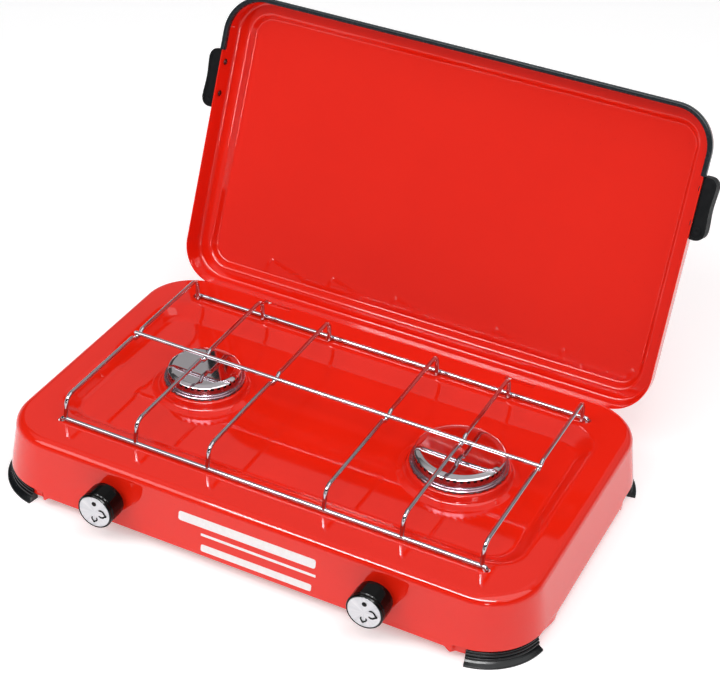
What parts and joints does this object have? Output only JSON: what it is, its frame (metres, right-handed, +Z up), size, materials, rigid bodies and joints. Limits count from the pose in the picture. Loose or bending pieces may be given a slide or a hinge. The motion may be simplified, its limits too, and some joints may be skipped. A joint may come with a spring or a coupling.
{
  "type": "camp stove",
  "caption": "Portable gas camp stove: a shallow pressed hob with burners under a wire grate, rotary gas taps on its front, corner feet and a hinged tray lid that folds down over it.",
  "frame": {"origin": "on the ground, under the middle of the stove's box with its lid open", "axes": "+X to the right along the front, +Y to the back, +Z up"},
  "size_m": [0.5086, 0.4472, 0.3184],
  "materials": {
    "red_enamel": "glossy red enamel",
    "foot_rubber": "satin black rubber",
    "burner_cup_steel": "pressed steel",
    "burner_ring_steel": "bright pressed steel with a row of ports",
    "burner_cap_polished": "polished, mirror-like",
    "aluminium_tube": "drawn tube",
    "brass": "machined brass",
    "zinc_plate": "zinc-plated sheet",
    "fastener_steel": "zinc-plated steel",
    "grate_chrome": "chromed round wire",
    "trim_vinyl": "semi-gloss dark vinyl edging",
    "grip_plastic": "satin black moulded plastic",
    "knob_plastic": "glossy black, ribbed",
    "knob_face_aluminium": "spun aluminium disc with printed dial marks"
  },
  "bodies": {
    "hob": {"hob_shell": "red_enamel", "foot_front_left": "foot_rubber", "foot_front_right": "foot_rubber", "foot_rear_left": "foot_rubber", "foot_rear_right": "foot_rubber", "burner_cup_left": "burner_cup_steel", "burner_ring_left": "burner_ring_steel", "burner_cap_left": "burner_cap_polished", "mixing_tube_left": "aluminium_tube", "injector_left": "brass", "tap_body_left": "brass", "rail_bracket_left": "zinc_plate", "hinge_bracket_left": "zinc_plate", "hinge_pin_left": "fastener_steel", "burner_cup_right": "burner_cup_steel", "burner_ring_right": "burner_ring_steel", "burner_cap_right": "burner_cap_polished", "mixing_tube_right": "aluminium_tube", "injector_right": "brass", "tap_body_right": "brass", "rail_bracket_right": "zinc_plate", "hinge_bracket_right": "zinc_plate", "hinge_pin_right": "fastener_steel", "gas_rail": "aluminium_tube", "inlet_nut": "brass", "inlet_nozzle": "brass", "grate_front_bar": "grate_chrome", "grate_rear_bar": "grate_chrome", "grate_centre_bar": "grate_chrome", "grate_wire_1": "grate_chrome", "grate_wire_2": "grate_chrome", "grate_wire_3": "grate_chrome", "grate_wire_4": "grate_chrome", "grate_wire_5": "grate_chrome", "grate_wire_6": "grate_chrome"},
    "lid": {"lid_shell": "red_enamel", "lid_edge_trim": "trim_vinyl", "lid_grip_left": "grip_plastic", "grip_rivet_left_front": "fastener_steel", "grip_rivet_left_rear": "fastener_steel", "hinge_arm_left": "zinc_plate", "lid_grip_right": "grip_plastic", "grip_rivet_right_front": "fastener_steel", "grip_rivet_right_rear": "fastener_steel", "hinge_arm_right": "zinc_plate"},
    "tap_push_left": {"tap_plunger_left": "brass"},
    "tap_knob_left": {"tap_spindle_left": "fastener_steel", "knob_left": "knob_plastic", "knob_face_left": "knob_face_aluminium"},
    "tap_push_right": {"tap_plunger_right": "brass"},
    "tap_knob_right": {"tap_spindle_right": "fastener_steel", "knob_right": "knob_plastic", "knob_face_right": "knob_face_aluminium"}
  },
  "joints": [
    {"name": "lid_hinge", "type": "hinge", "parent": "hob", "child": "lid", "pos_m": [0, 0.0957, 0.0558], "axis": [1, 0, 0], "range_deg": [0, 110.5]},
    {"name": "knob_push_left", "type": "slide", "parent": "hob", "child": "tap_push_left", "axis": [0, 1, 0], "range_m": [0, 0.002], "stiffness_N_per_m": 1200, "springref_m": -0.001},
    {"name": "knob_turn_left", "type": "hinge", "parent": "tap_push_left", "child": "tap_knob_left", "pos_m": [-0.1245, -0.2128, 0.0365], "axis": [0, -1, 0], "range_deg": [0, 180]},
    {"name": "knob_push_right", "type": "slide", "parent": "hob", "child": "tap_push_right", "axis": [0, 1, 0], "range_m": [0, 0.002], "stiffness_N_per_m": 1200, "springref_m": -0.001},
    {"name": "knob_turn_right", "type": "hinge", "parent": "tap_push_right", "child": "tap_knob_right", "pos_m": [0.1245, -0.2128, 0.0365], "axis": [0, -1, 0], "range_deg": [0, 180]}
  ]
}
